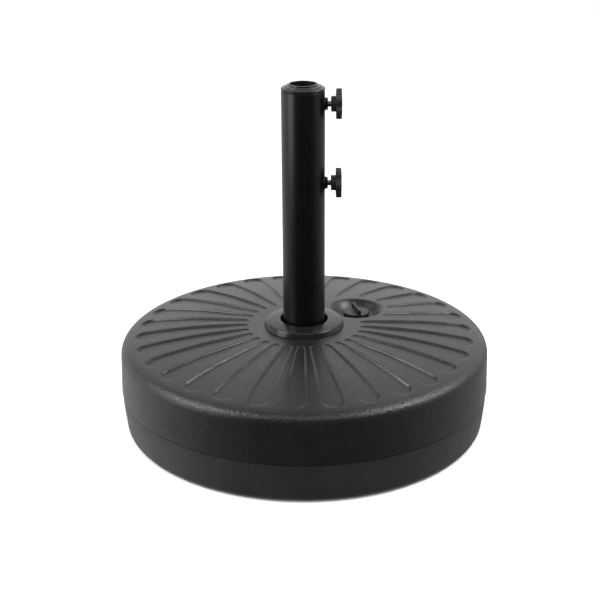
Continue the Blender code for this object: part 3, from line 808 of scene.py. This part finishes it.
def make_tank(materials):
    """The hollow tank. The first material is the grained one, the second the smooth one, whose colour is
    painted lighter for the floor's light.
    """
    points, faces, is_smooth_and_floor_lit = tank_shell()
    tank = new_object("tank_shell", points, faces)
    tank.data.polygons.foreach_set("material_index", [int(s) for s in is_smooth_and_floor_lit])
    work = bmesh.new()
    work.from_mesh(tank.data)
    open_dish(work)
    work.to_mesh(tank.data)
    work.free()
    for made in materials:
        tank.data.materials.append(made)
    cavity = cavity_object()
    cavity.data.materials.append(materials[1])
    combined(tank, cavity, "DIFFERENCE")
    return finish_piece(tank, "tank", materials)


# Collar ring, tube and bushing


def make_collar_ring(material):
    """A smooth ring with a rolled top edge and a sloping skirt, and a spigot down into the well's mouth."""
    under = DOME_HEIGHT + GAP
    spigot = WELL_MOUTH_RADIUS - GAP
    foot = WELL_STEP + GAP
    profile = eased(
        [
            (COLLAR_BORE, under + 0.0092, 0.0008),
            (0.0400, under + 0.0088, 0.03),
            (0.0455, under + 0.0081, 0.02),
            (0.0523, under + 0.0071, 0.0030),
            (0.0547, under + 0.0008, 0.0010),
            (0.0550, under, 0.0001),
            (spigot, under, 0.0004),
            (spigot, foot, 0.0006),
            (COLLAR_BORE, foot, 0.0006),
        ],
        6,
        closed=True,
    )
    ring = new_object("collar", *revolve(profile, FINE, closed=True))
    return finish_piece(ring, "collar_ring", [material])


def with_seam(point):
    """Raises the seam weld on the tube's inner side."""
    x, y, z = point
    radius, angle = math.hypot(x, y), math.atan2(y, x)
    if radius < TUBE_RADIUS - TUBE_WALL / 2:
        radius -= SEAM_HEIGHT * math.exp(-((radius * (angle - SEAM_ANGLE) / SEAM_WIDTH) ** 2))
    return (radius * math.cos(angle), radius * math.sin(angle), z)


def make_tube(material):
    """The steel tube, with rounded rims, its seam weld inside, and the two screw holes."""
    profile = eased(
        [
            (TUBE_RADIUS, TUBE_TOP, 0.0005),
            (TUBE_RADIUS, TUBE_FOOT, 0.0003),
            (TUBE_RADIUS - TUBE_WALL, TUBE_FOOT, 0.0003),
            (TUBE_RADIUS - TUBE_WALL, TUBE_TOP, 0.0003),
        ],
        4,
        closed=True,
    )
    vertices, faces = revolve(profile, FINE, closed=True)
    tube = new_object("tube", [with_seam(point) for point in vertices], faces)
    for height in CLAMP_HEIGHTS.values():
        hole = moved(cylinder("hole", SCREW_HOLE, *SCREW_HOLE_ENDS), along_x(height))
        combined(tube, hole, "DIFFERENCE")
    return finish_piece(tube, "stand_tube", [material])


def make_bushing(material):
    """A lip around the bore, a sloping shoulder, a short flange on the tube's end, and a skirt inside it."""
    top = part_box("pole_bushing")[1].z
    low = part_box("pole_bushing")[0].z
    under = TUBE_TOP + GAP
    skirt = TUBE_RADIUS - TUBE_WALL - GAP
    profile = eased(
        [
            (BUSHING_BORE, top, 0.0006),
            (0.0192, top, 0.0004),
            (0.0195, top - 0.0019, 0.0002),
            (0.0241, top - 0.0027, 0.0005),
            (0.0243, top - 0.0038, 0.0002),
            (0.0278, top - 0.0048, 0.0008),
            (0.0290, top - 0.0060, 0.0005),
            (0.0290, under + 0.0022, 0.0004),
            (0.0278, under + 0.0015, 0.0002),
            (0.0278, under, 0.0002),
            (skirt, under, 0.0002),
            (skirt, low, 0.0005),
            (skirt - BUSHING_SKIRT_WALL, low, 0.0005),
            (skirt - BUSHING_SKIRT_WALL, under - 0.0030, 0.0015),
            (BUSHING_BORE, under + 0.0010, 0.0008),
        ],
        4,
        closed=True,
    )
    bushing = new_object("bushing", *revolve(profile, FINE, closed=True))
    return finish_piece(bushing, "pole_bushing", [material])


# Filler cap


def stadium(half_length, half_width, z, steps=10):
    """A long rounded outline in the plane of z, its long side along X."""
    radius = min(half_width, half_length)
    centre = half_length - radius
    ring = []
    for side in (1, -1):
        for step in range(steps + 1):
            a = math.pi * step / steps - math.pi / 2
            ring.append((side * (centre + radius * math.cos(a)), side * half_width * math.sin(a), z))
    return ring


def fin_rings():
    """Outlines of the finger fin from its rounded top down to where it swells into the disc."""
    half_length, half_width = 0.0180, 0.0019
    corner, swelling = 0.0018, 0.0004
    rings = []
    for step in range(7):
        a = math.radians(15 * step)
        length = half_length - corner * (1 - math.sin(a))
        width = half_width * (0.45 + 0.55 * math.sin(a))
        rings.append(stadium(length, width, CAP_HIGH.z - corner * (1 - math.cos(a)) * 0.8))
    for step in range(6):
        a = math.radians(18 * step)
        width = half_width + swelling * (1 - math.cos(a))
        rings.append(stadium(half_length, width, CAP_TOP + swelling * (1 - math.sin(a))))
    rings.append(stadium(half_length, half_width + swelling, CAP_TOP - 0.0008))
    return rings


def make_cap(material):
    """A disc with a rounded edge on a hollow threaded plug, and the finger fin."""
    neck_in = PLUG_RADIUS - 0.0006
    disc = eased(
        [
            (0, CAP_TOP),
            (0.0150, CAP_TOP, 0.01),
            (CAP_RADIUS, CAP_TOP - 0.0003, 0.0011),
            (CAP_RADIUS, CAP_SEAT, 0.0004),
            (neck_in, CAP_SEAT),
            (neck_in, CAP_SEAT - 0.0005),
            (0, CAP_SEAT - 0.0005),
        ],
        6,
    )
    cap = new_object("cap", *revolve(disc, MEDIUM))
    plug = threaded_rod(
        CAP_LOW.z, CAP_SEAT - 0.0002, PLUG_RADIUS, PLUG_RADIUS - 0.0010, PLUG_PITCH, 0.0010, segments=SMALL
    )
    combined(cap, new_object("plug", *plug), "UNION")
    below = CAP_LOW.z - 0.0053
    hollow = [
        (0, PLUG_HOLLOW_TOP),
        (PLUG_HOLLOW_RADIUS, PLUG_HOLLOW_TOP, 0.001),
        (PLUG_HOLLOW_RADIUS, below),
        (0, below),
    ]
    combined(cap, new_object("hollow", *revolve(eased(hollow, 4), SMALL)), "DIFFERENCE")
    combined(cap, new_object("fin", *loft(fin_rings())), "UNION")
    moved(cap, at_filler(FIN_TURN))
    return finish_piece(cap, "filler_cap", [material], math.radians(30))


def make_seal(material):
    """A ring of round section."""
    middle = (SEAL_LOW.z + SEAL_HIGH.z) / 2
    section = (SEAL_HIGH.z - SEAL_LOW.z) / 2
    mean = (SEAL_HIGH.x - SEAL_LOW.x) / 2 - section
    profile = arc((mean, middle), (section, section), 90, -270, 24)[:-1]
    seal = moved(new_object("seal", *revolve(profile, MEDIUM, closed=True)), at_filler())
    return finish_piece(seal, "filler_cap_seal", [material])


# Clamps


def hexagon_prism(across_corners, low, high):
    """A hexagon bar along Z, with one corner along +X."""
    angles = [math.tau * i / 6 for i in range(6)]
    reach = across_corners / 2
    return loft([[(reach * math.cos(a), reach * math.sin(a), z) for a in angles] for z in (high, low)])


def chamfered_hexagon(name, across_corners, low, high, chamfer_low, chamfer_high):
    """A hexagon whose corners are turned off at 30 degrees, as on real nuts and bolt heads."""
    prism = new_object(name, *hexagon_prism(across_corners, low, high))
    reach = across_corners / 2 + 0.0004
    face = 0.96 * across_corners / 2 * math.cos(math.pi / 6)  # radius of the flat left on the end
    drop = (reach - face) * math.tan(math.radians(30))
    profile = [
        (0, high),
        (face, high) if chamfer_high else (reach, high + 0.0001),
        (reach, high - drop) if chamfer_high else (reach, high),
        (reach, low + drop) if chamfer_low else (reach, low),
        (face, low) if chamfer_low else (reach, low - 0.0001),
        (0, low),
    ]
    body = new_object("chamfers", *revolve(profile, MEDIUM))
    return combined(prism, body, "INTERSECT")


def weld_bead(corners, height):
    """A closed, lumpy bead where a hexagon of this size meets the tube."""
    count, sides = 132, 10
    flat = corners / 2 * math.cos(math.pi / 6)
    rings = []
    for i in range(count):
        t = math.tau * i / count
        lump = 1 + 0.16 * math.sin(22 * t) + 0.08 * math.sin(5 * t + 1)
        sector = (t + math.pi / 6) % (math.pi / 3) - math.pi / 6
        reach = min(flat / math.cos(sector), corners / 2 * 0.97) + 0.0001
        ring = []
        for k in range(sides):
            a = math.tau * k / sides
            out = reach + WELD_RADIUS * lump * math.cos(a)
            y, z = out * math.sin(t), out * math.cos(t)
            x = math.sqrt(TUBE_RADIUS**2 - y * y) + WELD_RADIUS * lump * math.sin(a)
            ring.append((x, y, height + z))
        rings.append(ring)
    return loft(rings, closed=True)


def make_weld_nut(name, material):
    """A hexagon nut hollowed to the tube, with the weld around its foot."""
    height = CLAMP_HEIGHTS[name]
    low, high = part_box("weld_nut_" + name)
    corners = high.z - low.z
    nut = chamfered_hexagon("nut_" + name, corners, TUBE_RADIUS - 0.0022, high.x, False, True)
    inner, outer = SCREW_HOLE_ENDS
    combined(nut, bore_cutter(SCREW_HOLE, 0.0007, inner, high.x, outer), "DIFFERENCE")
    moved(nut, along_x(height))
    saddle = cylinder("saddle", TUBE_RADIUS + 0.00005, -corners, corners, FINE)
    combined(nut, moved(saddle, Matrix.Translation((0, 0, height))), "DIFFERENCE")
    weld = faced_outward(new_object("weld", *weld_bead(corners, height)))
    combined(nut, weld, "UNION")
    return finish_piece(nut, "weld_nut_" + name, [material], math.radians(30))


def make_stud(name, material):
    """An M8 stud with its thread cut."""
    low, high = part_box("clamp_screw_" + name)
    rod = threaded_rod(low.x, high.x, SCREW_RADIUS, SCREW_ROOT, SCREW_PITCH, 0.0007)
    stud = moved(new_object("stud_" + name, *rod), along_x(CLAMP_HEIGHTS[name]))
    return finish_piece(stud, "clamp_screw_" + name, [material], math.radians(50))


def knob_ring(turn, outline_share, inset, radius, z):
    """One ring of a knob: from a circle of this radius at a share of 0 to the lobed outline, inset, at 1."""
    ring = []
    for i in range(KNOB_SEGMENTS):
        angle = math.tau * i / KNOB_SEGMENTS
        valley = (0.5 - 0.5 * math.cos(KNOB_LOBES * (angle - turn))) ** 1.6
        lobed = KNOB_RADIUS - KNOB_VALLEY * valley - inset
        at = radius + (lobed - radius) * outline_share
        ring.append((at * math.cos(angle), at * math.sin(angle), z))
    return ring


def make_knob(name, material):
    """A six-lobed head with rounded edges and a low round boss on its face, on a hub around the stud."""
    hub, length = 0.0102, 0.0065
    thick, crown, edge = 0.0074, 0.0004, 0.0010
    top = length + thick
    quarter = [math.radians(a) for a in (0, 18, 36, 54, 72, 90)]
    # share of the lobed outline, inset from it, radius of the circle, height
    rings = [
        (0, 0, 0.0006, top + crown),
        (0, 0, 0.0050, top + 0.98 * crown),
        (0, 0, 0.0080, top + 0.88 * crown),
        (0, 0, 0.0088, top + 0.55 * crown),
        (0, 0, 0.0093, top - 0.0001),
        (0, 0, 0.0098, top - 0.0002),
        (0.45, 0.0030, 0.0108, top - 0.0001),
        (1, 0.0024, 0.0116, top),
    ]
    rings += [(1, edge * (1 - math.sin(a)), 0, top - edge * (1 - math.cos(a))) for a in quarter]
    rings += [(1, edge * (1 - math.cos(a)), 0, length + edge * (1 - math.sin(a))) for a in quarter]
    rings += [
        (1, 0.0021, 0, length + 0.0001),
        (1, 0.0025, 0, length + 0.0007),
        (1, 0.0030, 0, length + 0.0010),
        (0, 0, hub + 0.0018, length + 0.0010),
        (0, 0, hub + 0.0008, length + 0.0008),
        (0, 0, hub + 0.0002, length + 0.0002),
        (0, 0, hub, length - 0.0006),
        (0, 0, hub - 0.0001, 0.0009),
        (0, 0, hub - 0.0003, 0.0003),
        (0, 0, hub - 0.0009, 0),
        (0, 0, SCREW_HOLE + 0.0007, 0),
        (0, 0, SCREW_HOLE + 0.0002, 0.0001),
        (0, 0, SCREW_HOLE, 0.0005),
        (0, 0, SCREW_HOLE, 0.0096),
    ]
    knob = new_object("knob_" + name, *loft([knob_ring(LOBE_TURN[name], *ring) for ring in rings]))
    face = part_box("clamp_knob_" + name)[0].x
    moved(knob, along_x(CLAMP_HEIGHTS[name], face))
    return finish_piece(knob, "clamp_knob_" + name, [material], math.radians(40))


# Foot of the tube and its anchor


def flat_ring(name, low, high, rounding, segments):
    """A plate or washer between these corners of its box, around the anchor bolt."""
    profile = eased(
        [
            (high.x, high.z, rounding),
            (high.x, low.z, rounding),
            (BOLT_HOLE, low.z, 0.0002),
            (BOLT_HOLE, high.z, 0.0002),
        ],
        3,
        closed=True,
    )
    return new_object(name, *revolve(profile, segments, closed=True))


def make_foot(coat, zinc):
    """The plate in the tube's foot, and the nut under it."""
    plate = flat_ring("plate", *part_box("foot_plate"), 0.0004, FINE)
    finish_piece(plate, "foot_plate", [coat])

    low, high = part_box("foot_nut")
    nut = chamfered_hexagon("nut_foot", high.x - low.x, low.z, high.z, True, False)
    below, above = BOLT_CUTTER
    combined(nut, bore_cutter(BOLT_HOLE, 0.0006, above, low.z, below), "DIFFERENCE")
    return finish_piece(nut, "foot_nut", [zinc], math.radians(30))


def make_anchor(zinc):
    """The M10 bolt with its thread, the split lock washer and the wide washer."""
    washer = flat_ring("washer", *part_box("anchor_washer"), 0.0005, MEDIUM)
    finish_piece(washer, "anchor_washer", [zinc])

    low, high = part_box("anchor_lock_washer")
    slit, steps, spring = math.radians(6), 90, 0.0002
    bottom, top = low.z + spring, high.z - spring
    corners = [(BOLT_HOLE, bottom), (BOLT_HOLE, top), (high.x, top), (high.x, bottom)]
    rings = []
    for i in range(steps + 1):
        angle = slit + (math.tau - 2 * slit) * i / steps
        lift = spring * (i / steps - 0.5)
        section = eased([(r, z + lift, 0.0003) for r, z in corners], 3, closed=True)
        rings.append([(r * math.cos(angle), r * math.sin(angle), z) for r, z in section])
    lock = new_object("lock_washer", *loft(rings))
    finish_piece(lock, "anchor_lock_washer", [zinc])

    low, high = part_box("anchor_bolt")
    head_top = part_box("anchor_lock_washer")[0].z - GAP
    bolt = chamfered_hexagon("bolt", high.x - low.x, low.z, head_top, True, False)
    rod = threaded_rod(head_top - 0.002, high.z, BOLT_RADIUS, BOLT_ROOT, BOLT_PITCH, 0.0008)
    combined(bolt, new_object("shank", *rod), "UNION")
    return finish_piece(bolt, "anchor_bolt", [zinc], math.radians(50))


# Camera, floor and light

CAMERA_TARGET = Vector((-0.0012, 0, 0.1743))
CAMERA_DISTANCE = 1.7207
CAMERA_ELEVATION = math.radians(21.27)
CAMERA_ROLL = math.radians(-0.296)
CAMERA_LENS = 75.16  # millimetres, on a sensor 36 wide
CAMERA_SHIFT = (-0.0052, -0.0011)


def make_camera():
    """Looks down at the base from the front, with a slight roll."""
    camera = bpy.data.objects.new("camera", bpy.data.cameras.new("camera"))
    bpy.context.scene.collection.objects.link(camera)
    back = Vector((0, -math.cos(CAMERA_ELEVATION), math.sin(CAMERA_ELEVATION)))
    camera.location = CAMERA_TARGET + back * CAMERA_DISTANCE
    turn = (-back).to_track_quat("-Z", "Y").to_matrix() @ Matrix.Rotation(CAMERA_ROLL, 3, "Z")
    camera.rotation_euler = turn.to_euler()
    camera.data.lens = CAMERA_LENS
    camera.data.sensor_width = 36
    camera.data.shift_x, camera.data.shift_y = CAMERA_SHIFT
    bpy.context.scene.camera = camera


def make_floor():
    """A pale floor. It is hidden from glossy rays, which see the world's darker front instead."""
    half = 30
    corners = [(-half, -half, 0), (half, -half, 0), (half, half, 0), (-half, half, 0)]
    floor = new_object("floor", corners, [[0, 1, 2, 3]])
    made = Surface("floor_white", 0.9, specular=0.0)
    made.colour(made.noise(3, 2), (0.885, 0.885, 0.885), (0.895, 0.895, 0.895))
    floor.data.materials.append(made.material)
    floor.visible_glossy = False


def make_light(name, place, size, radiance, towards=(0, 0, 0.15)):
    """A soft box whose face has this radiance."""
    lamp = bpy.data.lights.new(name, "AREA")
    lamp.shape = "RECTANGLE"
    lamp.size, lamp.size_y = size
    lamp.energy = radiance * math.pi * size[0] * size[1]
    obj = bpy.data.objects.new(name, lamp)
    obj.location = place
    obj.rotation_euler = (Vector(towards) - Vector(place)).to_track_quat("-Z", "Y").to_euler()
    obj.visible_camera = False
    bpy.context.scene.collection.objects.link(obj)


def make_world():
    """White, but dimmer to glossy rays in front of the object, overhead and at its right.

    That keeps the object's near side dark. Low down at the left it is brighter to them.
    """
    world = bpy.data.worlds.new("studio")
    bpy.context.scene.world = world
    world.use_nodes = True
    nodes, links = world.node_tree.nodes, world.node_tree.links
    background = nodes["Background"]
    direction = nodes.new("ShaderNodeSeparateXYZ")
    links.new(nodes.new("ShaderNodeTexCoord").outputs["Generated"], direction.inputs["Vector"])

    def ramp(socket, *ends):
        node = map_range(world.node_tree, socket, *ends)
        node.interpolation_type = "SMOOTHSTEP"
        return node.outputs["Result"]

    def times(a, b):
        node = nodes.new("ShaderNodeMath")
        node.operation = "MULTIPLY"
        links.new(a, node.inputs[0])
        links.new(b, node.inputs[1])
        return node.outputs["Value"]

    depth = ramp(direction.outputs["Y"], 0.03, 1.0, -0.80, 0.35)
    low = ramp(direction.outputs["Z"], 0.55, 1.12, -0.20, 0.15)
    high = ramp(direction.outputs["Z"], 1.0, 0.20, 0.76, 0.98)
    right = ramp(direction.outputs["X"], 1.0, 0.76, 0.10, 0.80)
    left = nodes.new("ShaderNodeMix")
    left.data_type = "FLOAT"
    links.new(ramp(direction.outputs["X"], 1.0, 0.0, -0.70, -0.15), left.inputs["Factor"])
    left.inputs["A"].default_value = 1.0
    links.new(ramp(direction.outputs["Z"], 1.45, 0.45, -0.15, 0.45), left.inputs["B"])
    side = times(left.outputs["Result"], right)
    shown = nodes.new("ShaderNodeMix")
    shown.data_type = "FLOAT"
    links.new(nodes.new("ShaderNodeLightPath").outputs["Is Glossy Ray"], shown.inputs["Factor"])
    shown.inputs["A"].default_value = 1.12
    links.new(times(times(depth, side), times(low, high)), shown.inputs["B"])
    links.new(shown.outputs["Result"], background.inputs["Strength"])
    background.inputs["Color"].default_value = (1, 1, 1, 1)


def make_studio():
    """The world, and the soft boxes that draw the highlights on the tube and on the tank's edge."""
    make_world()
    make_light("left_box", (-1.45, -0.62, 0.55), (0.8, 0.9), 3.0)
    make_light("right_box", (1.70, -0.45, 0.90), (0.8, 1.4), 0.2)
    make_light("overhead_left", (-1.25, -0.31, 1.24), (0.9, 0.7), 8.0)
    make_light("overhead_right", (1.12, -0.12, 1.34), (0.9, 0.6), 10.5)
    make_light("overhead_front", (0, -0.90, 1.50), (1.4, 0.5), 2.2)
    bpy.context.scene.view_settings.view_transform = "Standard"


def make_pieces():
    """Every piece, with the materials that they share."""
    # the smooth resin's colour holds painted floor light: it is lighter than the grained resin's
    smooth = smooth_resin_painted_floor_light()
    trim, knob, coat = trim_resin(), knob_resin(), powder_coat()
    screw = plated_steel("screw_steel", (0.42, 0.42, 0.43), (0.62, 0.62, 0.63), 0.28)
    zinc = plated_steel("zinc_steel", (0.40, 0.40, 0.41), (0.56, 0.56, 0.57), 0.42)
    make_tank([grained_resin(), smooth])
    make_collar_ring(trim)
    make_tube(coat)
    make_bushing(trim)
    make_cap(cap_resin())
    make_seal(seal_rubber())
    for name in CLAMP_HEIGHTS:
        make_weld_nut(name, coat)
        make_stud(name, screw)
        make_knob(name, knob)
    make_foot(coat, zinc)
    make_anchor(zinc)


make_camera()
make_pieces()
make_floor()
make_studio()
